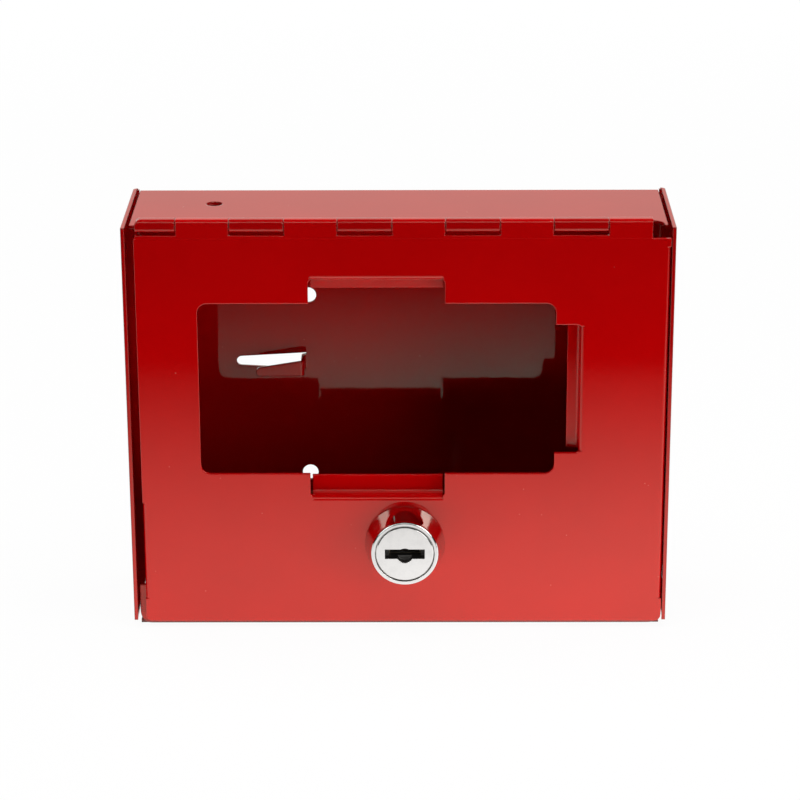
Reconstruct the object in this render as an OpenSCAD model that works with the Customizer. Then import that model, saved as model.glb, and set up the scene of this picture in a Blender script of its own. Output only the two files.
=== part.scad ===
// Break glass key box: a folded sheet steel case with a top hinged door,
// a pane held in three folded channels, a key hook and a cam lock.
// Origin: centre of the underside, halfway between front and back.
// X runs to the right seen from the front, Y to the wall, Z up.

/* [Case] */
// Outside width of the case
case_w = 150; // [130:1:190]
// Depth from the door's face to the wall
case_d = 40; // [38:1:60]
// Height of the case's flat top panel
case_h = 117.3; // [112:0.1:150]
// Thickness of the sheet steel
sheet = 1; // [0.8:0.1:1.2]
// Inside radius of the folds
fold_r = 0.3; // [0.2:0.1:0.8]
// How far the side walls rise above the top panel
wall_rise = 0.3; // [0:0.1:1]
// How far the side walls end above the underside
wall_lift = 2.3; // [0.5:0.1:4]
// Gap between the top panel and each side wall
top_gap = 1; // [0.3:0.1:1.5]
// Gap between the bottom panel and each side wall
bottom_gap = 0.6; // [0.2:0.1:1.5]
// Width of the relief cut beside each fold at the back corners
relief_w = 0.3; // [0.2:0.1:0.6]
// Length of the relief cut past the fold
relief_past = 0.3; // [0.2:0.1:2]
// Height of the catch lip along the bottom
lip_h = 12.2; // [8.5:0.1:12.5]
// Rounding of the catch lip's lower corners
lip_round = 4; // [1:0.5:6]
// Gap between the door sheet and the catch lip
lip_gap = 1.2; // [1:0.1:2]

/* [Wall fixing] */
// Diameter of the two wall screw holes
screw_hole_d = 4.6; // [4:0.1:6.5]
// Distance between the two wall screw holes
screw_pitch = 54.2; // [40:0.2:60]
// Distance of the wall screw holes from the case's centre
screw_x = -26.1; // [-34:0.1:-23]
// Height of the lower wall screw hole
screw_low = 32; // [24:0.1:36]
// Diameter of the hole in the top panel
top_hole_d = 4.4; // [3:0.1:6]
// Distance of the top hole from the case's centre
top_hole_x = -51.2; // [-60:0.2:-20]
// Distance of the top hole from the front
top_hole_from_front = 25; // [18:1:30]

/* [Key hook] */
// Sideways place of the hook's root
hook_x = -27.2; // [-30:0.1:-10]
// Height of the hook's middle
hook_z = 66.4; // [55:0.1:80]
// Gap between the back panel and the hook's arm
hook_out = 5.8; // [5:0.1:12]
// Length of the hook's arm
hook_arm = 13.9; // [10:0.1:16]
// Inside radius of the hook's folds
hook_r = 0.3; // [0.2:0.1:1.2]
// Play round the hook in the slot it was cut from
hook_slot_play = 0.15; // [0.05:0.05:0.4]
// Height of the strip at the hook's root
hook_root_h = 4.7; // [3.8:0.1:6]
// Height of the strip at the hook's tip
hook_tip_h = 2.6; // [2.2:0.1:3.6]
// How far the hook's arm starts below the slot's middle
hook_drop = 0.2; // [0:0.1:0.4]
// How far the hook's arm slopes down, in degrees
hook_slope = 5; // [0:0.5:8]

/* [Hinge] */
// Diameter of the hinge pin
pin_d = 1.5; // [1.2:0.1:2]
// Play between the pin and the rolled sheet, on the radius
pin_play = 0.02; // [0.01:0.01:0.05]
// Outside rounding of the rolled knuckles' section
roll_round = 1.1; // [1:0.05:1.7]
// Number of rolled knuckles, case and door together
knuckle_n = 10; // [4:2:12]
// Distance between the knuckles' middles
knuckle_pitch = 14.63; // [10:0.01:15]
// How much shorter the first knuckle is
knuckle_trim = 3.75; // [0:0.05:4]
// How much shorter the last knuckle is
last_trim = 2.7; // [0:0.05:4]
// Side gap between two knuckles
knuckle_gap = 0.22; // [0.15:0.01:0.8]
// Left end of the hinge, from the case's left side
hinge_start = 3.8; // [3:0.1:6]
// Depth of the notches in the top panel, from the front
top_notch = 8; // [6:0.5:12]
// Rounding of the notches' inner corners
notch_round = 1; // [0.5:0.1:3]
// Rounding of the last notch's corner beside the right wall
ear_round = 3.5; // [1:0.1:4]
// How far the top panel's two front corners stand back from the front
ear_back = 3.7; // [3:0.1:7]
// Width of the top panel's right front corner
ear_w = 0.8; // [0.5:0.1:3]
// How far the notches in the door go below the knuckles
door_notch = 0.85; // [0.5:0.05:2]
// Height of the door's strip below its notches
door_strip = 0.95; // [0.5:0.05:2]
// Gap where a knuckle's rolled end meets the sheet
seam = 0.3; // [0.2:0.05:0.4]
// Rounding of the first knuckle's outer corner
knuckle_round = 1.7; // [0.5:0.1:2]
// How far each knuckle's pin bore is left past the pin's ends
pin_inset = 0.4; // [0.2:0.1:1]

/* [Door] */
// Gap between the door and the left wall
gap_left = 2.4; // [1:0.1:3]
// Gap between the door and the right wall
gap_right = 0.3; // [0.3:0.1:2]
// Height of the door's lower edge above the underside
door_low = 2; // [0.2:0.1:3]
// Rounding of the door's lower corners
door_round = 1.8; // [1:0.1:4]
// Depth of the door's side flanges
flange_d = 6; // [3:0.5:8]
// Height of the flanges' lower ends
flange_low = 8.8; // [6:0.1:10]
// Height of the right flange's upper end
flange_high = 112.1; // [104:0.1:112.5]

/* [Window] */
// Width of the window
window_w = 97.9; // [80:0.1:104]
// Height of the window
window_h = 49.7; // [45:0.1:55]
// Distance of the window's middle from the case's centre
window_x = -6; // [-8:0.05:-2]
// Height of the window's lower edge
window_low = 46.5; // [43:0.1:50]
// Rounding of the window's corners
window_round = 2.8; // [1:0.1:5]
// Width of the upper and lower channel tabs
tab_w = 37.3; // [24:0.1:44]
// Distance of the right tab's ends from the window's corners
tab_end = 6.1; // [4:0.1:10]
// How far the tab openings go beyond the window
tab_out = 6.65; // [6:0.05:9]
// Rounding of the tab openings' corners
tab_round = 0.9; // [0.5:0.1:2]
// Side gap between a tab and its opening
tab_side_gap = 0.5; // [0.2:0.1:1]
// Height of the upper and right channels' lips
tab_lip = 3.4; // [2.5:0.1:5]
// Height of the lower channel's lip
tab_lip_low = 5.1; // [3:0.1:6]
// Inside radius of the folds of the lips
lip_r = 1; // [0.3:0.1:1.1]
// How far the lips stand open, in degrees
lip_lean = 7; // [0:0.5:10]

/* [Pane] */
// Thickness of the glass pane
pane_t = 2; // [1.5:0.1:3]
// Play of the pane in its channels, front to back
pane_play = 0.5; // [0.2:0.1:1]
// Play of the pane's edges in its channels
pane_edge_play = 0.5; // [0.4:0.1:1]
// How far the pane covers the door beyond the window's left edge
pane_cover = 4; // [2:0.5:8]

/* [Lock] */
// Sideways distance of the lock from the door's middle
lock_off = 0.5; // [-6:0.05:6]
// Height of the lock's axis
lock_z = 25.8; // [24.8:0.1:26.3]
// Diameter of the lock's head where it meets the door
head_base_d = 22.3; // [21.6:0.1:24]
// Diameter of the lock's head at its front
head_front_d = 18.8; // [18.2:0.1:20]
// How far the head stands out from the door
head_out = 8; // [6.5:0.1:10]
// Diameter of the threaded barrel
barrel_d = 18.8; // [18.2:0.1:19]
// Width of the barrel across its flats
barrel_flats = 16.4; // [16:0.1:17]
// Length of the barrel behind the door's face
barrel_len = 9.6; // [9:0.1:12]
// Diameter of the plug's face
plug_face_d = 16.3; // [15:0.1:16.6]
// Diameter of the plug's body
plug_d = 12.24; // [12:0.02:12.6]
// Thickness of the plug's face disc
plug_face_t = 2.4; // [2:0.1:3]
// Running play of the plug in the barrel, on the radius
plug_play = 0.06; // [0.02:0.01:0.1]
// Length of the key slot across the face
key_w = 11.1; // [9.5:0.1:11.6]
// Height of the key slot
key_h = 2.8; // [2:0.1:3]
// Diameter of the round in the middle of the key slot
key_round_d = 4.4; // [4:0.1:5.5]
// How far that round sits below the key slot's middle
key_drop = 0.5; // [0:0.1:0.8]
// Size of the square tang
tang = 7.5; // [7:0.1:8]
// Play between the tang and the square holes on it
tang_play = 0.1; // [0.05:0.05:0.2]

/* [Wafers] */
// Thickness of a wafer
wafer_t = 0.9; // [0.7:0.05:1]
// Distance between two wafers
wafer_pitch = 1.6; // [1.5:0.05:1.7]
// Width of a wafer
wafer_w = 8; // [7.6:0.1:8.2]
// Play of a wafer in its slot, each way
wafer_play = 0.08; // [0.05:0.01:0.1]
// How far a wafer springs out of the plug
wafer_travel = 0.8; // [0.5:0.1:0.9]
// Diameter of a wafer spring
spring_d = 0.9; // [0.7:0.1:0.9]

/* [Lock fixings] */
// Thickness of the toothed washer
washer_t = 0.9; // [0.6:0.1:1.2]
// Outside diameter of the toothed washer
washer_d = 23.4; // [22.5:0.1:24]
// Number of teeth on the washer
washer_teeth = 18; // [12:1:24]
// Width of the barrel nut across its flats
nut_flats = 21; // [20.4:0.1:21.6]
// Thickness of the barrel nut
nut_t = 4; // [3:0.1:4.2]
// Thickness of the stop washer
stop_t = 1; // [0.8:0.1:1.2]
// Thickness of the cam
cam_t = 2; // [1.6:0.1:2.2]
// Width of the cam
cam_w = 12; // [10:0.5:14]
// Reach of the cam from the lock's axis
cam_reach = 19; // [18:0.5:20]
// Gap between the catch lip and the cam
cam_gap = 0.5; // [0.3:0.1:0.8]
// Diameter of the cam screw's thread
screw_d = 4; // [3:0.5:5]
// Diameter of the cam screw's head
screw_head_d = 8; // [7:0.5:9]

/* [Hidden] */
$fn = 64;
eps = 0.01;
wafer_n = 6;
lock_turn = 90;
front_y = -case_d / 2;
back_y = case_d / 2;
half_w = case_w / 2;
fold_out = fold_r + sheet;
top_x = half_w - sheet - top_gap;
bottom_x = half_w - sheet - bottom_gap;

// Window and flange are given for a case of this height and grow with the case
drawn_h = 117.3;
taller = case_h - drawn_h;

// Hook, with its length before it was folded
fold_share = 0.4;
hook_fold = PI * (hook_r + fold_share * sheet);
hook_flat = hook_fold + hook_out + hook_arm - sheet - 3 * hook_r;
leg_half = hook_root_h / 2 - hook_drop;
leg_z = hook_z - hook_drop;
arm_y = back_y - sheet - hook_out;
bend_x = hook_x - sheet - hook_r;

// Hinge
roll_r = pin_d / 2 + pin_play + sheet;
axis_y = front_y + roll_r;
axis_z = case_h - sheet + roll_r;
hinge_x0 = -half_w + hinge_start;
notch_y = front_y + top_notch;

// Door
door_x0 = -half_w + sheet + gap_left;
door_x1 = half_w - sheet - gap_right;
door_inner = front_y + sheet;
notch_z = axis_z - roll_r - door_notch;
door_top = notch_z - door_strip;

// Window and pane
win_x0 = window_x - window_w / 2;
win_x1 = window_x + window_w / 2;
win_z1 = window_low + window_h + taller;
win_mid_z = (window_low + win_z1) / 2;
tab_top = win_z1 + tab_out;
tab_low = window_low - tab_out;
tab_right = win_x1 + tab_out;
tab_half = tab_w / 2 - tab_side_gap;
side_half = (win_z1 - window_low) / 2 - tab_end;
lip_front = door_inner + pane_t + pane_play;
pane_x0 = win_x0 - pane_cover;
pane_x1 = tab_right - pane_edge_play;
pane_z0 = tab_low + pane_edge_play;
pane_z1 = tab_top - pane_edge_play;

// Catch lip
lip_y = door_inner + lip_gap;
lip_clear = 0.3;

// Lock, along its own axis: zero at the door's face, plus to the front
lock_x = (door_x0 + door_x1) / 2 + lock_off;
plug_r = plug_d / 2;
stop_r = tang / sqrt(2) + 1.2;
lug_r = stop_r + 0.3;
bore_r = plug_r + plug_play;
face_floor = head_out - plug_face_t;
plug_end = -barrel_len - 0.1;
stop_top = plug_end - 0.05;
stop_low = stop_top - stop_t;
cam_top = stop_low - 0.05;
cam_low = cam_top - cam_t;
cam_tip_face = -(lip_y + sheet + cam_gap - front_y);
tang_end = cam_low + 0.3;
spring_washer_t = 1;
screw_head_t = 2.4;
tap_r = screw_d / 2;
tap_deep = 4.6;
wafer_first = face_floor - 2.6;
slot_t = wafer_t + 2 * wafer_play;
slot_w = wafer_w + 2 * wafer_play;
spring_y = wafer_w / 2 - 1.1;
ledge_x = -4.6;
shoulder_x = -1.4;
spring_len = shoulder_x - ledge_x - 0.1;
key_body_w = 8.8;
tab_arc = 30;
stop_play = 1;

red = [0.66, 0.02, 0.02];
chrome = [0.86, 0.86, 0.85];
zinc = [0.72, 0.73, 0.72];
brass = [0.79, 0.66, 0.36];

// A flat drawing in (Y, Z) drawn out along X from x0 to x1
module along_x(x0, x1) {
    translate([x0, 0, 0])
        rotate([90, 0, 90])
            linear_extrude(x1 - x0) children();
}

// A flat drawing in (X, Z) made into a plate from y0 to y1
module along_y(y0, y1) {
    translate([0, y1, 0])
        rotate([90, 0, 0])
            linear_extrude(y1 - y0) children();
}

// A rectangle between two corners with rounded corners
module round_rect(x0, y0, x1, y1, r) {
    translate([x0 + r, y0])
        square([x1 - x0 - 2 * r, y1 - y0]);
    translate([x0, y0 + r])
        square([x1 - x0, y1 - y0 - 2 * r]);
    for (x = [x0 + r, x1 - r], y = [y0 + r, y1 - r])
        translate([x, y]) circle(r);
}

// A rectangle between two corners
module rect(x0, y0, x1, y1) {
    translate([x0, y0]) square([x1 - x0, y1 - y0]);
}

// A quarter of a folded sheet: the fold's centre, and the way it faces
module fold(x, y, dx, dy, r = fold_r, t = sheet) {
    intersection() {
        translate([x, y])
            difference() {
                circle(r + t);
                circle(r);
            }
        rect(min(x, x + dx * 2 * (r + t)), min(y, y + dy * 2 * (r + t)),
             max(x, x + dx * 2 * (r + t)), max(y, y + dy * 2 * (r + t)));
    }
}

// Left and right ends of knuckle i, where even ones belong to the case
function knuckle_x0(i) = hinge_x0 + (i == 0 ? 0 : i * knuckle_pitch - knuckle_trim);
function knuckle_x1(i) = hinge_x0 + (i + 1) * knuckle_pitch
    - knuckle_trim - (i == knuckle_n - 1 ? last_trim : 0);

// One rolled knuckle between x0 and x1, pressed a little flat on its four sides
module roll(x0, x1) {
    difference() {
        along_x(x0, x1)
            round_rect(axis_y - roll_r, axis_z - roll_r, axis_y + roll_r, axis_z + roll_r,
                       roll_round);
        translate([x0 - 1, axis_y, axis_z])
            rotate([0, 90, 0]) cylinder(r = pin_d / 2 + pin_play, h = x1 - x0 + 2);
    }
}

// Side wall on the right, with its fold to the back panel
module side_wall() {
    translate([0, 0, wall_lift])
        linear_extrude(case_h + wall_rise - wall_lift) {
            rect(half_w - sheet, front_y, half_w, back_y - fold_out);
            fold(half_w - fold_out, back_y - fold_out, 1, 1);
        }
}

// Back panel with its screw holes and the slot that the hook came out of
module back_panel() {
    difference() {
        along_y(back_y - sheet, back_y) {
            rect(-half_w + fold_out, fold_out, half_w - fold_out, case_h - fold_out);
            rect(top_x, case_h - 2 * fold_out, half_w - fold_out, case_h);
            rect(-half_w + fold_out, case_h - 2 * fold_out, -top_x, case_h);
        }
        for (z = [screw_low, screw_low + screw_pitch])
            translate([screw_x, back_y - 2, z])
                rotate([-90, 0, 0]) cylinder(d = screw_hole_d, h = 4);
        along_y(back_y - 2 * sheet, back_y + sheet)
            hook_outline(hook_x + hook_r - hook_flat, hook_x + hook_r, hook_slot_play);
        relief(top_x, case_h - fold_out - relief_past, case_h);
        relief(bottom_x, 0, fold_out + relief_past);
    }
}

// The hook strip's tapered outline, lying flat, with a round tip at x0
module hook_outline(x0, x1, grow) {
    tip = hook_tip_h / 2 + grow;
    root = hook_root_h / 2 + grow;
    translate([x0 + tip, hook_z]) circle(tip);
    translate([0, hook_z])
        polygon([[x0 + tip, -tip], [x1, -root], [x1, root], [x0 + tip, tip]]);
}

// Key hook: a strip cut from the back panel, out to the front and then left
module hook() {
    root_y = back_y - sheet - hook_r;
    intersection() {
        translate([0, 0, hook_z - hook_root_h])
            linear_extrude(2 * hook_root_h) {
                rect(hook_x + hook_r - eps, back_y - sheet, hook_x + hook_r + sheet, back_y);
                fold(hook_x + hook_r, root_y, -1, 1, hook_r);
                rect(hook_x - sheet, arm_y + hook_r, hook_x, root_y);
                fold(bend_x, arm_y + hook_r, 1, -1, hook_r);
                rect(hook_x - hook_arm, arm_y - sheet, bend_x, arm_y);
            }
        union() {
            along_y(arm_y + hook_r, back_y) leg_outline();
            along_y(arm_y - sheet, arm_y + hook_r) arm_outline();
        }
    }
}

// Outline of the hook's leg, seen from the front
module leg_outline() {
    rect(hook_x - sheet, leg_z - leg_half, hook_x + hook_r + sheet, leg_z + leg_half);
}

// Outline of the hook's arm: it tapers and slopes down to a round tip
module arm_outline() {
    tip = hook_tip_h / 2;
    tip_x = hook_x - hook_arm + tip;
    tip_z = leg_z - (bend_x - tip_x) * tan(hook_slope);
    rect(bend_x, leg_z - leg_half, hook_x, leg_z + leg_half);
    translate([tip_x, tip_z]) circle(tip);
    polygon([[tip_x, tip_z - tip], [bend_x, leg_z - leg_half], [bend_x, leg_z + leg_half],
             [tip_x, tip_z + tip]]);
}

// Top panel with notches for the door's knuckles and ears beside the walls
module top_panel() {
    last = knuckle_n - 1;
    difference() {
        union() {
            along_x(-top_x, top_x) {
                rect(front_y + ear_back, case_h - sheet, back_y - fold_out, case_h);
                fold(back_y - fold_out, case_h - fold_out, 1, 1);
            }
            for (i = [0 : 2 : knuckle_n - 1])
                along_x(knuckle_x0(i), knuckle_x1(i))
                    rect(axis_y, case_h - sheet, notch_y + 1, case_h);
        }
        translate([0, 0, case_h - 2 * sheet])
            linear_extrude(3 * sheet) {
                for (i = [1 : 2 : last])
                    notch(knuckle_x0(i), i < last ? knuckle_x1(i) : knuckle_x0(i) + 3 * notch_round,
                          notch_round);
                notch(knuckle_x0(last), top_x - ear_w, ear_round);
            }
        translate([top_hole_x, front_y + top_hole_from_front, case_h - 2 * sheet])
            cylinder(d = top_hole_d, h = 3 * sheet);
    }
}

// Outline of a notch in the top panel's front edge
module notch(x0, x1, r) {
    round_rect(x0, front_y - 2 * r, x1, notch_y, r);
}

// Bottom panel with the catch lip folded up along its front
module bottom_panel() {
    difference() {
        along_x(-bottom_x, bottom_x) {
            fold(back_y - fold_out, fold_out, 1, -1);
            rect(lip_y + fold_out, 0, back_y - fold_out, sheet);
            fold(lip_y + fold_out, fold_out, -1, -1);
            rect(lip_y, fold_out, lip_y + sheet, lip_h);
        }
        lip_corner();
        mirror([1, 0, 0]) lip_corner();
    }
}

// The rounded lower corner of the catch lip on the right, as a cutter
module lip_corner() {
    along_y(lip_y - sheet, lip_y + fold_out)
        difference() {
            rect(bottom_x - lip_round, -sheet, bottom_x + sheet, lip_round);
            translate([bottom_x - lip_round, lip_round]) circle(lip_round);
        }
}

// Relief cuts beside the ends of a fold at x, in both back corners
module relief(x, z0, z1) {
    for (side = [-1, 1])
        translate([side * (x + relief_w / 2), back_y - sheet / 2, (z0 + z1) / 2])
            cube([relief_w, 2 * sheet, z1 - z0 + eps], center = true);
}

// Knuckles of the case: the top panel passes below the pin and rolls up over it
module case_knuckles() {
    for (i = [0 : 2 : knuckle_n - 1])
        difference() {
            roll(knuckle_x0(i), knuckle_x1(i));
            translate([knuckle_x0(i) - 1, axis_y + eps, case_h])
                cube([knuckle_x1(i) - knuckle_x0(i) + 2, 2 * roll_r, seam]);
            if (i == 0) knuckle_corner();
        }
}

// The rounded outer corner of the first knuckle, as a cutter
module knuckle_corner() {
    top = axis_z + roll_r;
    along_y(axis_y - 2 * roll_r, axis_y + 2 * roll_r)
        difference() {
            rect(hinge_x0 - 1, top - knuckle_round, hinge_x0 + knuckle_round, top + 1);
            translate([hinge_x0 + knuckle_round, top - knuckle_round]) circle(knuckle_round);
        }
}

// The case: one folded sheet
module back_box() {
    color(red) {
        side_wall();
        mirror([1, 0, 0]) side_wall();
        back_panel();
        hook();
        top_panel();
        bottom_panel();
        case_knuckles();
    }
}

// The pin that both rows of knuckles turn on
module hinge_pin() {
    color(zinc)
        translate([hinge_x0 + pin_inset, axis_y, axis_z])
            rotate([0, 90, 0])
                cylinder(d = pin_d, h = knuckle_x1(knuckle_n - 1) - hinge_x0 - 2 * pin_inset);
}

// Outline of the door's face with its window and lock hole
module door_outline() {
    difference() {
        union() {
            round_rect(door_x0, door_low, door_x1, door_top - door_round, door_round);
            rect(door_x0, door_low + 2 * door_round, door_x1, door_top);
            rect(hinge_x0, door_top - 1, knuckle_x1(knuckle_n - 1), notch_z);
        }
        round_rect(win_x0, window_low, win_x1, win_z1, window_round);
        for (up = [0, 1])
            tab_opening(window_x, up ? win_z1 : window_low, up ? 1 : -1);
        round_rect(win_x1 - 2 * tab_round, win_mid_z - side_half,
                   tab_right, win_mid_z + side_half, tab_round);
        rect(window_x - tab_half, tab_low - fold_out, window_x + tab_half, tab_low + 1);
        rect(window_x - tab_half, tab_top - 1, window_x + tab_half, tab_top + fold_out);
        rect(tab_right - 1, win_mid_z - side_half + tab_side_gap,
             tab_right + fold_out, win_mid_z + side_half - tab_side_gap);
        translate([lock_x, lock_z]) flatted(barrel_d / 2 + 0.1, barrel_flats / 2 + 0.1);
    }
}

// Opening above or below the window where a channel tab was folded back
module tab_opening(x, z, up) {
    z0 = up > 0 ? z - 2 * tab_round : z - tab_out;
    z1 = up > 0 ? z + tab_out : z + 2 * tab_round;
    round_rect(x - tab_w / 2, z0, x + tab_w / 2, z1, tab_round);
}

// A round with two flats, above and below
module flatted(r, flat) {
    intersection() {
        circle(r);
        rect(-2 * r, -flat, 2 * r, flat);
    }
}

// Section of a channel tab: shelf at height 0 going back, lip of height h going up.
// The first number is the distance behind the door's face, the second the height.
module channel_section(h) {
    depth = lip_front + sheet - front_y;
    fold(fold_out, -fold_out, -1, 1);
    rect(fold_out, -sheet, depth - sheet - lip_r, 0);
    translate([depth - sheet - lip_r, lip_r]) {
        difference() {
            fold(0, 0, 1, -1, lip_r);
            rotate(-lip_lean) rect(0, 0, 2 * (lip_r + sheet), lip_r + sheet);
        }
        rotate(-lip_lean) rect(lip_r, -eps, lip_r + sheet, h - lip_r);
    }
}

// The three channels round the window that hold the pane
module channels() {
    translate([0, front_y, tab_low])
        along_x(window_x - tab_half, window_x + tab_half) channel_section(tab_lip_low);
    translate([0, front_y, tab_top])
        mirror([0, 0, 1])
            along_x(window_x - tab_half, window_x + tab_half) channel_section(tab_lip);
    translate([tab_right, front_y, win_mid_z - side_half + tab_side_gap])
        linear_extrude(2 * (side_half - tab_side_gap))
            rotate(90) channel_section(tab_lip);
}

// A side flange on the left up to height z1, cut back below to clear the catch lip
module door_flange(z1) {
    translate([0, 0, flange_low])
        linear_extrude(z1 - flange_low) {
            rect(door_x0, front_y + fold_out, door_x0 + sheet, lip_y - lip_clear);
            fold(door_x0 + fold_out, front_y + fold_out, -1, -1);
        }
    translate([0, 0, lip_h + 1])
        linear_extrude(z1 - lip_h - 1)
            rect(door_x0, front_y + fold_out, door_x0 + sheet, front_y + flange_d);
}

// The outside of a flange's fold, cut from the face's square edge
module flange_edge(z1) {
    translate([0, 0, flange_low])
        linear_extrude(z1 - flange_low)
            difference() {
                rect(door_x0 - 1, front_y - 1, door_x0 + fold_out, front_y + fold_out);
                translate([door_x0 + fold_out, front_y + fold_out]) circle(fold_out);
            }
}

// The door's other side: the same drawing turned over about the door's middle
module door_right() {
    translate([door_x0 + door_x1, 0, 0])
        mirror([1, 0, 0]) children();
}

// Knuckles of the door: its face rises and rolls back over the pin
module door_knuckles() {
    for (i = [1 : 2 : knuckle_n - 1]) {
        x0 = knuckle_x0(i) + knuckle_gap;
        x1 = knuckle_x1(i) - (i == knuckle_n - 1 ? 0 : knuckle_gap);
        along_x(x0, x1) rect(front_y, notch_z - 1, door_inner, axis_z);
        difference() {
            roll(x0, x1);
            translate([x0 - 1, door_inner, axis_z - 2 * roll_r])
                cube([x1 - x0 + 2, seam, 2 * roll_r - 0.2]);
        }
    }
}

// The door: one sheet with folded flanges, channels and knuckles
module door() {
    left_top = tab_low - 2;
    right_top = flange_high + taller;
    color(red) {
        difference() {
            along_y(front_y, door_inner) door_outline();
            flange_edge(left_top);
            door_right() flange_edge(right_top);
        }
        door_flange(left_top);
        door_right() door_flange(right_top);
        channels();
        door_knuckles();
    }
}

// The pane that is broken to reach the key
module glass_pane() {
    color([0.8, 0.9, 0.88, 0.3])
        translate([pane_x0, door_inner + pane_play / 2, pane_z0])
            cube([pane_x1 - pane_x0, pane_t, pane_z1 - pane_z0]);
}

// Places a piece drawn along its own Z on the lock's axis, plus to the front
module on_lock() {
    translate([lock_x, front_y, lock_z])
        rotate([90, 0, 0]) children();
}

// A disc sector from angle a0 over a degrees
module sector(r, a0, a) {
    steps = ceil(a / 30);
    polygon(concat([[0, 0]],
        [for (k = [0 : steps]) r * 1.4 * [cos(a0 + a * k / steps), sin(a0 + a * k / steps)]]));
}

// Lock housing: the bright conical head and the threaded barrel with two flats
module lock_housing() {
    rim = 0.5;
    base_r = head_base_d / 2;
    front_r = head_front_d / 2;
    free_arc = tab_arc + lock_turn + 2 * stop_play;
    color(chrome)
        on_lock()
            difference() {
                union() {
                    rotate_extrude()
                        union() {
                            polygon([[0, 0], [base_r, 0], [base_r, 0.6], [front_r, head_out - 1],
                                     [front_r, head_out - rim], [front_r - rim, head_out],
                                     [0, head_out]]);
                            translate([front_r - rim, head_out - rim]) circle(rim);
                        }
                    translate([0, 0, -barrel_len])
                        linear_extrude(barrel_len + 1)
                            flatted(barrel_d / 2, barrel_flats / 2);
                    translate([0, 0, stop_low])
                        linear_extrude(-barrel_len - stop_low + 1)
                            difference() {
                                circle(barrel_flats / 2);
                                circle(lug_r);
                                sector(barrel_d, -lock_turn - stop_play - tab_arc / 2, free_arc);
                            }
                }
                translate([0, 0, face_floor - 0.1])
                    cylinder(d = plug_face_d + 0.3, h = plug_face_t + 1);
                translate([0, 0, stop_low - 1])
                    cylinder(r = bore_r, h = head_out - stop_low + 2);
                groove_h = (wafer_n - 1) * wafer_pitch + slot_t + 0.8;
                for (turn = [0, -lock_turn])
                    rotate(turn)
                        translate([0, -slot_w / 2, wafer_first - groove_h + slot_t + 0.4])
                            cube([plug_r + wafer_travel + 0.25, slot_w, groove_h]);
            }
}

// Outline of a wafer, and of its slot when grown by the play
module wafer_outline(play) {
    rect(-plug_r - 1, -wafer_w / 2 - play, plug_r + 1, spring_y - spring_d / 2 - 0.2 + play);
    rect(shoulder_x - play, -wafer_w / 2, plug_r + 1, wafer_w / 2 + play);
}

// Height of wafer i's slot floor
function wafer_z(i) = wafer_first - (i - 1) * wafer_pitch;

// Plug: face disc with the key slot, body with the wafer slots, square tang
module lock_plug() {
    color(chrome)
        on_lock()
            difference() {
                union() {
                    rotate_extrude()
                        polygon([[0, plug_end], [plug_r, plug_end], [plug_r, face_floor],
                                 [plug_face_d / 2, face_floor], [plug_face_d / 2, head_out - 0.25],
                                 [plug_face_d / 2 - 0.4, head_out + 0.1], [0, head_out + 0.1]]);
                    translate([-tang / 2, -tang / 2, tang_end])
                        cube([tang, tang, plug_end - tang_end + 1]);
                }
                translate([-key_w / 2, -key_h / 2, face_floor - 0.2])
                    cube([key_w, key_h, plug_face_t + 1]);
                translate([0, -key_drop, face_floor])
                    cylinder(d = key_round_d, h = plug_face_t + 1);
                key_deep = wafer_z(wafer_n) - 0.4;
                translate([-key_body_w / 2, -key_h / 2, key_deep])
                    cube([key_body_w, key_h, face_floor - key_deep]);
                for (i = [1 : wafer_n])
                    translate([0, 0, wafer_z(i) - wafer_play])
                        linear_extrude(slot_t)
                            union() {
                                wafer_outline(wafer_play);
                                rect(ledge_x, 0, 0, wafer_w / 2 + wafer_play);
                            }
                translate([0, 0, tang_end - 1])
                    cylinder(r = tap_r, h = tap_deep + 1);
            }
}

// Wafer i: a flat plate with a window for the key, its own height of cut
module wafer(i) {
    cut = [0.35, 0, 0.5, 0.15, 0.4, 0.1][(i - 1) % 6];
    color(brass)
        on_lock()
            translate([0, 0, wafer_z(i)])
                linear_extrude(wafer_t)
                    difference() {
                        intersection() {
                            circle(plug_r - 0.05);
                            wafer_outline(0);
                        }
                        rect(-key_body_w / 2 - 0.1 + cut, -key_h / 2 - 0.2,
                             key_body_w / 2 - 0.5 + cut, key_h / 2 + 0.2);
                    }
}

// The small springs that push the wafers out
module wafer_springs() {
    color(zinc)
        on_lock()
            for (i = [1 : wafer_n])
                translate([ledge_x + 0.02, spring_y, wafer_z(i) + wafer_t / 2])
                    rotate([0, 90, 0])
                        difference() {
                            cylinder(d = spring_d, h = spring_len);
                            translate([0, 0, -1])
                                cylinder(d = spring_d * 0.55, h = spring_len + 2);
                        }
}

// Washer with teeth that bite the back of the door sheet
module toothed_washer() {
    tooth = 360 / washer_teeth;
    bore = barrel_d / 2 + 0.1;
    deep = (washer_d / 2 - bore) / 2;
    gap = PI * washer_d / washer_teeth / 3;
    color(zinc)
        on_lock()
            translate([0, 0, -sheet - washer_t])
                linear_extrude(washer_t - 0.02)
                    difference() {
                        circle(d = washer_d);
                        circle(bore);
                        for (k = [1 : washer_teeth])
                            rotate(k * tooth)
                                translate([washer_d / 2 - deep, -gap / 2])
                                    square([2 * deep, gap]);
                    }
}

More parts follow.
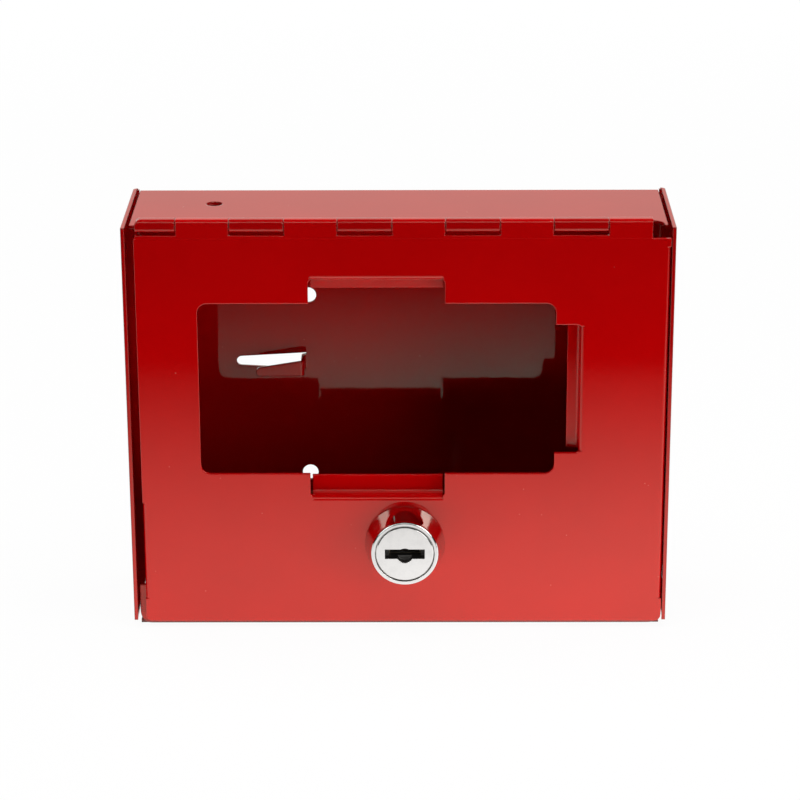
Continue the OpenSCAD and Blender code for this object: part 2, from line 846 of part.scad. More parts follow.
// Hexagon nut that clamps the housing to the door
module barrel_nut() {
    color(zinc)
        on_lock()
            translate([0, 0, -sheet - washer_t - nut_t])
                difference() {
                    intersection() {
                        rotate(30) cylinder(d = nut_flats / cos(30), h = nut_t, $fn = 6);
                        rotate_extrude()
                            polygon([[0, 0], [nut_flats / 2 + 0.2, 0], [nut_flats / 2 + 1.8, 0.9],
                                     [nut_flats / 2 + 1.8, nut_t], [0, nut_t]]);
                    }
                    translate([0, 0, -1]) cylinder(r = barrel_d / 2 + 0.05, h = nut_t + 2);
                }
}

// A square hole that fits the tang
module tang_hole() {
    square(tang + 2 * tang_play, center = true);
}

// Washer on the tang whose nose stops the turn at both ends
module stop_washer() {
    nose_r = barrel_flats / 2 - 0.1;
    color(zinc)
        on_lock()
            translate([0, 0, stop_low])
                linear_extrude(stop_t)
                    difference() {
                        union() {
                            circle(stop_r);
                            intersection() {
                                circle(nose_r);
                                sector(nose_r, -tab_arc / 2, tab_arc);
                            }
                        }
                        tang_hole();
                    }
}

// Cam: a flat bar, cranked forward round the nut so its tip gets behind the lip
module cam() {
    leg_x = nut_flats / sqrt(3) + 1.5;
    fold_c = 1;
    out_c = fold_c + cam_t;
    color(zinc)
        on_lock() {
            difference() {
                union() {
                    translate([0, 0, cam_low])
                        linear_extrude(cam_t) {
                            circle(cam_w / 2 + 2);
                            rect(0, -cam_w / 2, leg_x + cam_t - out_c, cam_w / 2);
                        }
                    cam_crank(leg_x, fold_c, out_c);
                }
                translate([0, 0, cam_low - 1])
                    linear_extrude(cam_t + 2) tang_hole();
            }
        }
}

// The cranked end: leg towards the front, then the tip outwards
module cam_crank(leg_x, fold_c, out_c) {
    tip_low = cam_tip_face - cam_t;
    intersection() {
        translate([0, cam_w / 2, 0])
            rotate([90, 0, 0])
                linear_extrude(cam_w) {
                    fold(leg_x + cam_t - out_c, cam_low + out_c, 1, -1, fold_c, cam_t);
                    rect(leg_x, cam_low + out_c, leg_x + cam_t, tip_low - fold_c);
                    fold(leg_x + out_c, tip_low - fold_c, -1, 1, fold_c, cam_t);
                    rect(leg_x + out_c - eps, tip_low, cam_reach, cam_tip_face);
                }
        translate([0, 0, cam_low - 1])
            linear_extrude(cam_tip_face - cam_low + 2)
                round_rect(0, -cam_w / 2, cam_reach, cam_w / 2, 2);
    }
}

// Split spring washer under the cam screw's head
module spring_washer() {
    color(zinc)
        on_lock()
            translate([0, 0, cam_low - spring_washer_t])
                linear_extrude(spring_washer_t - 0.02)
                    difference() {
                        circle(d = screw_head_d);
                        circle(screw_d / 2 + 0.15);
                        rotate(200) translate([0, -0.3]) square([screw_head_d, 0.6]);
                    }
}

// Cross recessed screw that holds the cam on the tang
module cam_screw() {
    head_low = cam_low - spring_washer_t - 0.02;
    color(zinc)
        on_lock()
            difference() {
                union() {
                    translate([0, 0, head_low - screw_head_t])
                        cylinder(d1 = screw_head_d - 1.4, d2 = screw_head_d, h = screw_head_t);
                    translate([0, 0, head_low - 1])
                        cylinder(r = tap_r - 0.03, h = tang_end + tap_deep - 0.4 - head_low + 1);
                }
                for (turn = [0, 90])
                    rotate(turn)
                        translate([-2.2, -0.45, head_low - screw_head_t - 1])
                            cube([4.4, 0.9, 2.4]);
            }
}

back_box();
door();
hinge_pin();
glass_pane();
lock_housing();
lock_plug();
wafer(1);  // wafer_1
wafer(2);  // wafer_2
wafer(3);  // wafer_3
wafer(4);  // wafer_4
wafer(5);  // wafer_5
wafer(6);  // wafer_6
wafer_springs();
toothed_washer();
barrel_nut();
stop_washer();
cam();
spring_washer();
cam_screw();
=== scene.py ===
import math

import bpy
from mathutils import Matrix, Vector


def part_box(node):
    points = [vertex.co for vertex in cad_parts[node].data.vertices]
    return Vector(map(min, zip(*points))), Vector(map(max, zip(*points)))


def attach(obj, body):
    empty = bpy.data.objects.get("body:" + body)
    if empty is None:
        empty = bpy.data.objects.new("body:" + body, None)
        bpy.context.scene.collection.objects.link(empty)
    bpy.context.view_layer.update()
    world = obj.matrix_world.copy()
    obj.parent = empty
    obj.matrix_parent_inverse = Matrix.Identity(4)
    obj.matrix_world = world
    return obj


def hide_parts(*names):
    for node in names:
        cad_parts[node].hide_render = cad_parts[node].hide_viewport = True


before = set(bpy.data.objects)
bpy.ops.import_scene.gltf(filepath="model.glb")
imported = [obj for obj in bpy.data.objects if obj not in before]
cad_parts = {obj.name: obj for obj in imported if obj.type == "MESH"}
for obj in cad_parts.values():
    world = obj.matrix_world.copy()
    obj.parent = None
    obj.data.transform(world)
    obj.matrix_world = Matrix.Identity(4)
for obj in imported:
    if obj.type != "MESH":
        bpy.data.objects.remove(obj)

print("key box: frame loaded,", len(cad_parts), "nodes")
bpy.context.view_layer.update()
mm = 0.001


# A shader socket that can be used in sums
class Wire:
    def __init__(self, paint, out):
        self.paint = paint
        self.out = out

    def sum(self, operation, first, second=None):
        made = self.paint.node("ShaderNodeMath", {"operation": operation})
        for place, value in enumerate([first, second]):
            if isinstance(value, Wire):
                self.paint.tree.links.new(value.out, made.inputs[place])
            elif value is not None:
                made.inputs[place].default_value = value
        return Wire(self.paint, made.outputs[0])

    def __add__(self, other):
        return self.sum("ADD", self, other)

    def __radd__(self, other):
        return self.sum("ADD", other, self)

    def __sub__(self, other):
        return self.sum("SUBTRACT", self, other)

    def __rsub__(self, other):
        return self.sum("SUBTRACT", other, self)

    def __mul__(self, other):
        return self.sum("MULTIPLY", self, other)

    def __rmul__(self, other):
        return self.sum("MULTIPLY", other, self)

    def orMore(self, other):
        return self.sum("MAXIMUM", self, other)

    def unsigned(self):
        return self.sum("ABSOLUTE", self)

    def clamped(self):
        return self.sum("MINIMUM", self.sum("MAXIMUM", self, 0.0), 1.0)


# A material or the world, while its nodes are being made. One method makes any node,
# and wire gives one of its outputs for use in sums.
class Paint:
    def __init__(self, owner):
        owner.use_nodes = True
        self.owner = owner
        self.tree = owner.node_tree
        self.tree.nodes.clear()

    def node(self, kind, settings=None, sockets=None):
        made = self.tree.nodes.new(kind)
        for key, value in (settings or {}).items():
            setattr(made, key, value)
        for key, value in (sockets or {}).items():
            if isinstance(value, Wire):
                self.tree.links.new(value.out, made.inputs[key])
            else:
                made.inputs[key].default_value = value
        return made

    def wire(self, kind, settings=None, sockets=None, out=0):
        return Wire(self, self.node(kind, settings, sockets).outputs[out])

    # Position on the object in metres; it turns with the piece
    def place(self):
        return self.wire("ShaderNodeTexCoord", out="Object")

    # 1 for rays that the camera sees, also through glass, and 1 for mirrored rays
    def rays(self):
        path = self.node("ShaderNodeLightPath")
        direct = Wire(self, path.outputs["Is Camera Ray"])
        through = Wire(self, path.outputs["Is Transmission Ray"])
        return direct.orMore(through), Wire(self, path.outputs["Is Glossy Ray"])

    # Soft noise between 0 and 1, with features of the given size in metres
    def noise(self, size, detail, rough, place=None, warp=0.0):
        sockets = {"Vector": place or self.place(), "Scale": 1 / size, "Detail": detail,
                   "Roughness": rough, "Distortion": warp}
        return self.wire("ShaderNodeTexNoise", {}, sockets, "Fac")

    # Cells of the given size: the distance to their points, or a colour for each
    def cells(self, size, out="Distance"):
        sockets = {"Vector": self.place(), "Scale": 1 / size}
        return self.wire("ShaderNodeTexVoronoi", {"feature": "F1"}, sockets, out)

    # One axis of a vector
    def axis(self, vector, name):
        parts = self.node("ShaderNodeSeparateXYZ", {}, {"Vector": vector})
        return Wire(self, parts.outputs[name])

    # Runs from low to high while the value runs from fromLow to fromHigh
    def band(self, value, low, high, fromLow=0.0, fromHigh=1.0, shape="LINEAR"):
        sockets = {"Value": value, "From Min": fromLow, "From Max": fromHigh,
                   "To Min": low, "To Max": high}
        return self.wire("ShaderNodeMapRange", {"clamp": True, "interpolation_type": shape},
                         sockets)

    def mixed(self, factor, first, second):
        sockets = {"Factor": factor, "A": first, "B": second}
        return self.wire("ShaderNodeMix", {"data_type": "RGBA"}, sockets, "Result")

    # The normal with bumps of the given depth on it
    def bump(self, height, depth, normal):
        sockets = {"Height": height, "Distance": depth, "Strength": 1.0, "Normal": normal}
        return self.wire("ShaderNodeBump", {}, sockets)

    # The normal of edges softened by the given radius
    def softEdge(self, radius):
        return self.wire("ShaderNodeBevel", {"samples": 6}, {"Radius": radius})

    # 1 along edges, 0 on flat surfaces
    def edgeMask(self, radius):
        flat = self.wire("ShaderNodeNewGeometry", out="Normal")
        soft = self.softEdge(radius)
        same = self.wire("ShaderNodeVectorMath", {"operation": "DOT_PRODUCT"},
                         {0: flat, 1: soft}, "Value")
        return self.band(1 - same, 0.0, 1.0, 0.02, 0.3)

    # The shader that the material or the world shows
    def shown(self, shader, output):
        self.node(output, {}, {"Surface": Wire(self, shader.outputs[0])})

    # The usual surface, from the values and wires of its sockets
    def finish(self, sockets):
        shader = self.node("ShaderNodeBsdfPrincipled", {}, sockets)
        self.shown(shader, "ShaderNodeOutputMaterial")
        return self.owner


def newPaint(name):
    return Paint(bpy.data.materials.new(name))


# Powder coat

powderCoat = {
    "cloudSize": 38 * mm,
    "smearSize": 13 * mm,
    "gloss": (1.0, 0.98, 0.80, 1),
    "ior": 1.55,
    "roughness": (0.02, 0.05),
    "peelSize": 1.7 * mm,
    "peelDepth": 0.007 * mm,
    "fineSize": 0.35 * mm,
    "fineDepth": 0.0005 * mm,
    "dustSize": 1.9 * mm,
    "dustRoughness": 0.10,
    # Paint nibs: real bumps, painted paler pink as a highlight on each.
    "nibHighlightRed": (0.80, 0.30, 0.25, 1),
    "nibHighlightShare": 0.5,
    "nibSpace": 5.4 * mm,
    "nibRadius": 0.22 * mm,
    "nibHeight": 0.05 * mm,
}

caseCoat = {
    # Painted shade: the case's reds are darker copies of the door's, which darkens the box
    # inside and out.
    "red": (0.42, 0.0008, 0.0015, 1),
    "deepRed": (0.37, 0.0005, 0.0011, 1),
    # Painted shade: the case's edges are darker red.
    "edgeLightingRed": (0.14, 0.0012, 0.0012, 1),
    "edgeLightingShare": 0.7,
    "edgeRadius": 0.6 * mm,
    "lean": 0.011,            # metres per metre of height
}

doorCoat = {
    "red": (0.50, 0.0008, 0.0015, 1),
    "deepRed": (0.45, 0.0005, 0.0011, 1),
    # Painted highlight: the door's edges are lighter red.
    "edgeLightingRed": (0.60, 0.016, 0.013, 1),
    "edgeLightingShare": 0.45,
    "edgeRadius": 0.42 * mm,
    "creaseHeight": 114.4 * mm,
    "creaseWidth": 0.45 * mm,
    "creaseDepth": 0.03 * mm,
}


# The red coat. With a lean the sheet's mirror image comes from lower down, and a
# crease is a faint bend across the sheet. Its edges carry painted light: painted shade
# on the case, a painted highlight on the door.
def redPaint(name, coat):
    look = powderCoat | coat
    paint = newPaint(name)
    cloud = paint.noise(look["cloudSize"], 4, 0.55)
    smear = paint.noise(look["smearSize"], 5, 0.6, warp=0.6)
    edge = paint.edgeMask(look["edgeRadius"])
    body = paint.mixed(paint.band(cloud, 0.0, 1.0, 0.3, 0.7), look["deepRed"], look["red"])
    # Painted light along the edges: shade on the case, highlight on the door.
    edgeLighting = paint.mixed(edge * look["edgeLightingShare"], body, look["edgeLightingRed"])
    nib = paint.band(paint.cells(look["nibSpace"]), 1.0, 0.0, 0.0,
                     look["nibRadius"] / look["nibSpace"])
    # Painted highlight: the nibs are paler pink than the coat.
    colour = paint.mixed(nib * look["nibHighlightShare"], edgeLighting, look["nibHighlightRed"])
    speck = paint.cells(look["dustSize"])
    dust = paint.band(speck, look["dustRoughness"], 0.0, 0.02, 0.05)
    rough = paint.band(smear, *look["roughness"], 0.3, 0.7)
    peel = paint.noise(look["peelSize"], 2, 0.45)
    fine = paint.noise(look["fineSize"], 2, 0.5)
    normal = paint.softEdge(look["edgeRadius"])
    height = paint.axis(paint.place(), "Z")
    if "lean" in look:
        normal = paint.bump(height, look["lean"], normal)
    if "creaseHeight" in look:
        above = (height - look["creaseHeight"]).unsigned()
        dip = paint.band(above, 0.0, 1.0, 0.0, look["creaseWidth"], "SMOOTHSTEP")
        normal = paint.bump(dip, look["creaseDepth"], normal)
    normal = paint.bump(peel, look["peelDepth"], normal)
    normal = paint.bump(fine, look["fineDepth"], normal)
    normal = paint.bump(nib, look["nibHeight"], normal)
    return paint.finish({"Base Color": colour, "Roughness": (rough + dust).clamped(),
                         "Normal": normal, "IOR": look["ior"],
                         "Specular Tint": look["gloss"]})


# Metals

zincPlate = {
    "pale": (0.66, 0.67, 0.66, 1),
    "dull": (0.46, 0.475, 0.49, 1),
    "straw": (0.60, 0.575, 0.50, 1),
    "strawShare": 0.55,
    "grain": 1.4 * mm,
    "cloudSize": 6 * mm,
    "scratchSize": 0.4 * mm,
    "scratchDepth": 0.006 * mm,
    "roughness": (0.24, 0.42),
    "edgeRadius": 0.12 * mm,
}


def zincPaint(name):
    look = zincPlate
    paint = newPaint(name)
    spangle = paint.cells(look["grain"], "Color")
    tone = paint.wire("ShaderNodeSeparateColor", {}, {"Color": spangle}, "Red")
    cloud = paint.noise(look["cloudSize"], 4, 0.6)
    grey = paint.mixed(paint.band(tone, 0.0, 1.0), look["dull"], look["pale"])
    colour = paint.mixed(paint.band(cloud, 0.0, look["strawShare"], 0.45, 0.75), grey,
                         look["straw"])
    scratch = paint.noise(look["scratchSize"], 4, 0.7)
    rough = paint.band(scratch, *look["roughness"], 0.3, 0.7)
    soft = paint.softEdge(look["edgeRadius"])
    marked = paint.bump(scratch, look["scratchDepth"], soft)
    return paint.finish({"Base Color": colour, "Roughness": rough, "Metallic": 1.0,
                         "Normal": marked})


chromePlate = {
    "bright": (0.68, 0.665, 0.65, 1),
    "haze": (0.56, 0.55, 0.54, 1),
    "hazeShare": 0.5,
    "hazeSize": 4 * mm,
    "roughness": (0.035, 0.10),
    "edgeRadius": 0.16 * mm,
    "rippleSize": 3.5 * mm,
    "rippleDepth": 0.010 * mm,
    "ringSize": 0.25 * mm,
    "headRings": 0.0008 * mm,
    "faceRings": 0.0015 * mm,
    "headPlated": 8 * mm,     # behind the plug's face
    "facePlated": 0.4 * mm,
    "platedEdge": 0.3 * mm,
    # Painted shade: the unplated metal is near black, like the shade in the keyway.
    "shadedCasting": (0.10, 0.095, 0.09, 1),
    "castRoughness": 0.4,
}


# Distance from the lock's axis, for the rings of a turned and polished face
def ringPlace(paint, axis):
    moved = paint.wire("ShaderNodeVectorMath", {"operation": "SUBTRACT"},
                       {0: paint.place(), 1: (axis.x, 0, axis.z)})
    flat = paint.wire("ShaderNodeVectorMath", {"operation": "MULTIPLY"},
                      {0: moved, 1: (1, 0, 1)})
    reach = paint.wire("ShaderNodeVectorMath", {"operation": "LENGTH"}, {0: flat}, "Value")
    return paint.wire("ShaderNodeCombineXYZ", {}, {"X": reach})


# Chrome on the faces in front of the given place; behind it the unplated metal is painted
# near black as shade
def chromePaint(name, axis, ringDepth, platedTo):
    look = chromePlate
    paint = newPaint(name)
    haze = paint.noise(look["hazeSize"], 4, 0.6)
    rings = paint.noise(look["ringSize"], 3, 0.6, ringPlace(paint, axis))
    bareShaded = paint.band(paint.axis(paint.place(), "Y"), 0.0, 1.0, platedTo,
                      platedTo + look["platedEdge"])
    plated = paint.mixed(paint.band(haze, 0.0, look["hazeShare"], 0.45, 0.75),
                         look["bright"], look["haze"])
    colour = paint.mixed(bareShaded, plated, look["shadedCasting"])
    rough = paint.band(haze, *look["roughness"], 0.3, 0.75) + bareShaded * look["castRoughness"]
    ripple = paint.noise(look["rippleSize"], 2, 0.4)
    wavy = paint.bump(ripple, look["rippleDepth"], paint.softEdge(look["edgeRadius"]))
    ringed = paint.bump(rings, ringDepth, wavy)
    return paint.finish({"Base Color": colour, "Roughness": rough, "Metallic": 1.0,
                         "Normal": ringed})


brassSheet = {
    # Dark brass, browner in blotches over much of it.
    "gold": (0.36, 0.30, 0.19, 1),
    "brown": (0.16, 0.13, 0.09, 1),
    "brownShare": 0.7,
    "blotchSize": 2.2 * mm,
    "grainSize": 0.2 * mm,
    "grainDepth": 0.004 * mm,
    "roughness": (0.30, 0.50),
    "edgeRoughness": 0.1,
    "edgeReach": 0.1 * mm,
    "edgeRadius": 0.08 * mm,
}


def brassPaint(name):
    look = brassSheet
    paint = newPaint(name)
    blotch = paint.noise(look["blotchSize"], 5, 0.6)
    edge = paint.edgeMask(look["edgeReach"])
    colour = paint.mixed(paint.band(blotch, 0.0, look["brownShare"], 0.45, 0.8),
                         look["gold"], look["brown"])
    rough = paint.band(blotch, *look["roughness"], 0.3, 0.7) + edge * look["edgeRoughness"]
    grain = paint.noise(look["grainSize"], 3, 0.6)
    marked = paint.bump(grain, look["grainDepth"], paint.softEdge(look["edgeRadius"]))
    return paint.finish({"Base Color": colour, "Roughness": rough.clamped(), "Metallic": 1.0,
                         "Normal": marked})


springWire = {
    "steel": (0.42, 0.42, 0.43, 1),
    "blue": (0.25, 0.26, 0.29, 1),
    "oilSize": 1.5 * mm,
    "drawnSize": 0.15 * mm,
    "drawnDepth": 0.003 * mm,
    "roughness": (0.25, 0.4),
    "edgeRadius": 0.06 * mm,
}


def springPaint(name):
    look = springWire
    paint = newPaint(name)
    oil = paint.noise(look["oilSize"], 4, 0.6)
    colour = paint.mixed(paint.band(oil, 0.0, 1.0, 0.35, 0.7), look["steel"], look["blue"])
    drawn = paint.noise(look["drawnSize"], 3, 0.6)
    marked = paint.bump(drawn, look["drawnDepth"], paint.softEdge(look["edgeRadius"]))
    rough = paint.band(oil, *look["roughness"])
    return paint.finish({"Base Color": colour, "Roughness": rough, "Metallic": 1.0,
                         "Normal": marked})


# Pane

paneGlass = {
    "tint": (0.01, 0.02, 0.017, 1),
    "edgeTint": (0.18, 0.42, 0.34, 1),
    "smearSize": 24 * mm,
    "dustSize": 4 * mm,
    "cover": (0.0006, 0.002),
    "dustCover": 0.02,
    "edgeCover": 0.04,
    "roughness": (0.02, 0.12),
    "ior": 1.5,
}


def glassPaint(name):
    look = paneGlass
    paint = newPaint(name)
    smear = paint.noise(look["smearSize"], 5, 0.6, warp=0.8)
    speck = paint.cells(look["dustSize"])
    facing = paint.axis(paint.wire("ShaderNodeNewGeometry", out="Normal"), "Y")
    edge = paint.band(facing * facing, 1.0, 0.0, 0.2, 0.8)
    colour = paint.mixed(edge, look["tint"], look["edgeTint"])
    film = paint.band(smear, *look["cover"], 0.35, 0.7)
    dust = paint.band(speck, look["dustCover"], 0.0, 0.004, 0.012)
    alpha = (film + dust).orMore(edge * look["edgeCover"])
    rough = paint.band(smear, *look["roughness"], 0.4, 0.8)
    made = paint.finish({"Base Color": colour, "Roughness": rough, "Alpha": alpha,
                         "IOR": look["ior"]})
    made.surface_render_method = "BLENDED"
    return made


print("key box: making finishes")
plugLow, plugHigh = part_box("lock_plug")
lockAxis = (plugLow + plugHigh) / 2
finishes = {
    "caseRed": redPaint("case powder coat", caseCoat),
    "doorRed": redPaint("door powder coat", doorCoat),
    "zinc": zincPaint("zinc plate"),
    "chromeHead": chromePaint("lock head chrome", lockAxis, chromePlate["headRings"],
                              plugLow.y + chromePlate["headPlated"]),
    "chromeFace": chromePaint("lock face chrome", lockAxis, chromePlate["faceRings"],
                              plugLow.y + chromePlate["facePlated"]),
    "brass": brassPaint("stamped brass"),
    "spring": springPaint("spring steel"),
    "glass": glassPaint("float glass"),
}
nodeFinishes = {            # nodes that aren't named are zinc plated
    "back_box": "caseRed",
    "door": "doorRed",
    "hinge_pin": "caseRed",
    "glass_pane": "glass",
    "lock_housing": "chromeHead",
    "lock_plug": "chromeFace",
    "spring_washer": "spring",
}
for node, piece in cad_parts.items():
    finish = nodeFinishes.get(node, "brass" if node.startswith("wafer_") else "zinc")
    piece.data.materials.clear()
    piece.data.materials.append(finishes[finish])


# A new piece that moves with the body
def newPiece(name, points, faces, finish, body, smooth=True):
    mesh = bpy.data.meshes.new(name)
    mesh.from_pydata([tuple(point) for point in points], [], faces)
    mesh.update()
    if smooth:
        mesh.polygons.foreach_set("use_smooth", [True] * len(mesh.polygons))
    mesh.materials.append(finishes[finish])
    piece = bpy.data.objects.new(name, mesh)
    bpy.context.scene.collection.objects.link(piece)
    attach(piece, body)
    return piece


# Joins rings of points into a tube, closed at both ends
def tubeFaces(ringCount, sides, first):
    faces = []
    for ring in range(ringCount - 1):
        for side in range(sides):
            after = (side + 1) % sides
            low = first + ring * sides
            faces.append((low + side, low + after, low + sides + after, low + sides + side))
    faces.append(tuple(first + side for side in reversed(range(sides))))
    faces.append(tuple(first + (ringCount - 1) * sides + side for side in range(sides)))
    return faces


# Thread on the barrel's two round sides, from the nut to the barrel's end

barrelThread = {
    "pitch": 1.0 * mm,
    "height": 0.42 * mm,
    "barrelRadius": 9.4 * mm,
    "halfFlats": 8.2 * mm,
    "barrelEnd": -10.4 * mm,
    "endGap": 0.25 * mm,
    "nutGap": 0.1 * mm,
    "rootDepth": 0.2 * mm,
    "crestDepth": 0.05 * mm,
    "rootShare": 0.46,        # of the pitch
    "crestShare": 0.15,       # of the root's width
    "fadeSteepness": 6,
    "steps": 28,
}


def makeBarrelThread():
    look = barrelThread
    openAngle = math.asin(look["halfFlats"] / look["barrelRadius"])
    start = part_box("barrel_nut")[1].y + look["nutGap"]
    turns = int((look["barrelEnd"] - look["endGap"] - start) / look["pitch"])
    root = look["barrelRadius"] - look["rootDepth"]
    halfRoot = look["pitch"] * look["rootShare"]
    halfCrest = halfRoot * look["crestShare"]
    points = []
    faces = []
    for turn in range(turns):
        # The right side's first half turn would start inside the nut
        for side in (0, math.pi) if turn else (math.pi,):
            first = len(points)
            for step in range(look["steps"] + 1):
                share = step / look["steps"]
                angle = side - openAngle + 2 * openAngle * share
                along = start + look["pitch"] * (turn + angle / (2 * math.pi))
                out = Vector((math.cos(angle), 0, math.sin(angle)))
                centre = Vector((lockAxis.x, along, lockAxis.z))
                fade = min(1.0, look["fadeSteepness"] * min(share, 1 - share))
                crest = look["barrelRadius"] - look["crestDepth"] + look["height"] * fade
                points.append(centre + out * root + Vector((0, -halfRoot, 0)))
                points.append(centre + out * crest + Vector((0, -halfCrest, 0)))
                points.append(centre + out * crest + Vector((0, halfCrest, 0)))
                points.append(centre + out * root + Vector((0, halfRoot, 0)))
            faces += tubeFaces(look["steps"] + 1, 4, first)
    return newPiece("barrel_thread", points, faces, "chromeHead", "door", False)


# Wafer springs as wound wire in place of the plain tubes

waferCoils = {
    "wire": 0.17 * mm,
    "radius": 0.45 * mm,      # outside
    "turns": 6,
    "sides": 6,
    "stepsPerTurn": 12,
    "wafers": 6,
}


def makeWaferCoils():
    look = waferCoils
    wireR = look["wire"] / 2
    reach = look["radius"] - wireR
    springLow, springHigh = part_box("wafer_springs")
    x0 = springLow.x + wireR
    x1 = springHigh.x - wireR
    z = (springLow.z + springHigh.z) / 2
    count = look["turns"] * look["stepsPerTurn"] + 1
    points = []
    faces = []
    for number in range(1, look["wafers"] + 1):
        low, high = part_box("wafer_%d" % number)
        middle = (low.y + high.y) / 2
        first = len(points)
        for step in range(count):
            share = step / (count - 1)
            angle = 2 * math.pi * look["turns"] * share
            out = Vector((0, math.cos(angle), math.sin(angle)))
            centre = Vector((x0 + (x1 - x0) * share, middle, z)) + out * reach
            for side in range(look["sides"]):
                turn = 2 * math.pi * side / look["sides"]
                points.append(centre + out * (wireR * math.cos(turn))
                              + Vector((wireR * math.sin(turn), 0, 0)))
        faces += tubeFaces(count, look["sides"], first)
    coils = newPiece("wafer_coils", points, faces, "spring", "lock")
    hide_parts("wafer_springs")
    return coils


print("key box: thread and coils")
makeBarrelThread()
makeWaferCoils()

# Stage

table = {
    "frontEdge": -0.32,
    "backEdge": 2.4,
    "halfWidth": 2.2,
    "white": (0.86, 0.86, 0.86, 1),
    "dark": (0.02, 0.02, 0.02, 1),
    "mirrored": 1.36,             # brightness in mirror images
    "fade": (-0.28, -0.04),       # dark in front of this stretch, lit behind it
    "start": (-0.262, -0.226),    # the mirror image starts in this stretch
    "sides": (-0.09, 0.08),
    "leftShare": 0.82,
    "rightShare": 1.12,
    "shadowShare": 0.05,
    "shadowReach": (0.25, 0.8),
}


# White for the camera; towards its front edge the table lies in the dark
def makeTable():
    look = table
    x = look["halfWidth"]
    points = [(-x, look["frontEdge"], 0), (x, look["frontEdge"], 0),
              (x, look["backEdge"], 0), (-x, look["backEdge"], 0)]
    mesh = bpy.data.meshes.new("table")
    mesh.from_pydata(points, [], [(0, 1, 2, 3)])
    paint = newPaint("white table")
    deep = paint.axis(paint.place(), "Y")
    lit = paint.band(deep, 0.0, 1.0, *look["fade"], "SMOOTHSTEP")
    started = paint.band(deep, 0.0, 1.0, *look["start"], "SMOOTHSTEP")
    across = paint.band(paint.axis(paint.place(), "X"), look["leftShare"],
                        look["rightShare"], *look["sides"])
    seen, glossy = paint.rays()
    colour = paint.mixed(lit.orMore(seen), look["dark"], look["white"])
    matte = paint.wire("ShaderNodeBsdfDiffuse", {}, {"Color": colour})
    strength = seen.orMore(glossy * lit * started * across * look["mirrored"])
    glow = paint.wire("ShaderNodeEmission", {}, {"Color": (1, 1, 1, 1), "Strength": strength})
    away = paint.wire("ShaderNodeVectorMath", {"operation": "LENGTH"}, {0: paint.place()},
                      "Value")
    caught = paint.band(away, look["shadowShare"], 0.0, *look["shadowReach"])
    share = (seen * (1 - caught)).orMore(glossy)
    both = paint.node("ShaderNodeMixShader", {}, {0: share, 1: matte, 2: glow})
    paint.shown(both, "ShaderNodeOutputMaterial")
    mesh.materials.append(paint.owner)
    floor = bpy.data.objects.new("table", mesh)
    bpy.context.scene.collection.objects.link(floor)


studio = {
    "white": 1.0,                 # for the camera
    "fill": 0.008,                # for matte surfaces
    "mirrored": 0.84,             # for mirror images, straight behind the box
    "darkSide": 0.004,            # for mirror images, everywhere else
    "backdrop": (0.5, 0.84),      # cosine of the angle from straight behind
    "warm": (1.0, 0.93, 0.86, 1),
}


def makeStudio():
    look = studio
    world = bpy.data.worlds.new("studio")
    bpy.context.scene.world = world
    paint = Paint(world)
    seen, glossy = paint.rays()
    ray = paint.wire("ShaderNodeTexCoord", out="Generated")
    behind = paint.band(paint.axis(ray, "Y"), look["darkSide"], look["mirrored"],
                        *look["backdrop"], "SMOOTHSTEP")
    unseen = glossy * behind + (1 - glossy) * look["fill"]
    strength = seen * look["white"] + (1 - seen) * unseen
    colour = paint.mixed(seen, look["warm"], (1, 1, 1, 1))
    sky = paint.node("ShaderNodeBackground", {}, {"Color": colour, "Strength": strength})
    paint.shown(sky, "ShaderNodeOutputWorld")


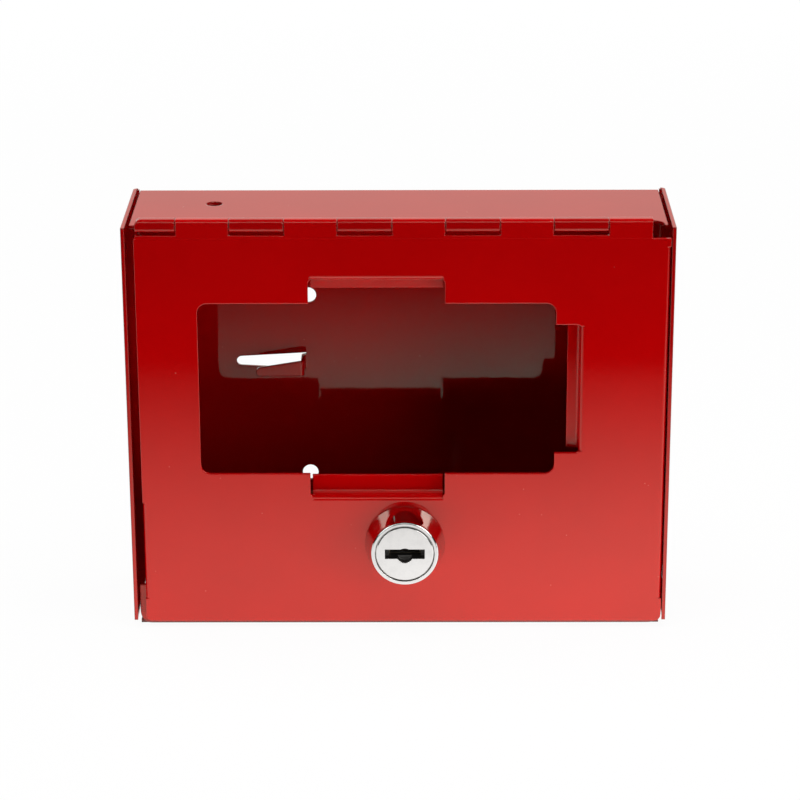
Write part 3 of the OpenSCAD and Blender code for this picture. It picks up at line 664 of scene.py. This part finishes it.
# The reflections show only in glossy surfaces, the others light only the matte part
lamps = {
    "frontReflection": {"place": (0.0, -1.1, 0.86), "size": (2.4, 0.4), "watts": 5.5,
                        "diffuse": False},
    "leftReflection": {"place": (-0.66, -0.93, 0.47), "size": (0.4, 0.75), "watts": 3.3,
                       "diffuse": False},
    "rightReflection": {"place": (0.66, -0.93, 0.47), "size": (0.4, 0.75), "watts": 6.6,
                        "diffuse": False},
    "overhead": {"place": (0.0, -0.05, 1.1), "size": (1.4, 1.0), "watts": 17.4,
                 "glossy": False},
    "leftCard": {"place": (-1.2, -0.7, 0.5), "size": (0.6, 0.8), "watts": 0.2,
                 "glossy": False},
    "rightKey": {"place": (0.5, -0.3, 0.15), "size": (0.3, 0.3), "watts": 1.15,
                 "glossy": False},
    "tableGlow": {"place": (0.0, -0.0965, 0.0006), "aim": (0, -0.0965, 1),
                  "size": (0.5, 0.156), "watts": 0.305, "glossy": False},
}
boxMiddle = (0, 0, 0.06)


def makeLamp(name, look):
    light = bpy.data.lights.new(name, "AREA")
    light.shape = "RECTANGLE"
    light.size, light.size_y = look["size"]
    light.energy = look["watts"]
    lamp = bpy.data.objects.new(name, light)
    lamp.location = look["place"]
    aim = Vector(look.get("aim", boxMiddle)) - Vector(look["place"])
    lamp.rotation_euler = aim.to_track_quat("-Z", "Y").to_euler()
    lamp.visible_camera = False
    lamp.visible_glossy = look.get("glossy", True)
    lamp.visible_diffuse = look.get("diffuse", True)
    bpy.context.scene.collection.objects.link(lamp)


# Degrees from level, from straight ahead and about the line of sight; lens in mm
view = {
    "place": (0.00521, -0.76574, 0.33758),
    "down": 19.85,
    "turn": -0.376,
    "roll": -0.20,
    "lens": 129.68,
    "sensor": 36,
    "clip": (0.01, 20),
}


def makeCamera():
    look = view
    down = math.radians(look["down"])
    turn = math.radians(look["turn"])
    roll = math.radians(look["roll"])
    ahead = Vector((math.sin(turn) * math.cos(down), math.cos(turn) * math.cos(down),
                    -math.sin(down)))
    right = Vector((math.cos(turn), -math.sin(turn), 0))
    up = right.cross(ahead)
    rolledRight = right * math.cos(roll) + up * math.sin(roll)
    rolledUp = up * math.cos(roll) - right * math.sin(roll)
    lens = bpy.data.cameras.new("photo view")
    lens.sensor_fit = "HORIZONTAL"
    lens.sensor_width = look["sensor"]
    lens.lens = look["lens"]
    lens.clip_start, lens.clip_end = look["clip"]
    camera = bpy.data.objects.new("photo view", lens)
    turned = Matrix((rolledRight, rolledUp, -ahead)).transposed().to_4x4()
    camera.matrix_world = Matrix.Translation(look["place"]) @ turned
    bpy.context.scene.collection.objects.link(camera)
    bpy.context.scene.camera = camera


print("key box: table, lamps and camera")
makeTable()
makeStudio()
for name, look in lamps.items():
    makeLamp(name, look)
makeCamera()
bpy.context.scene.view_settings.view_transform = "Standard"

print("key box: done")
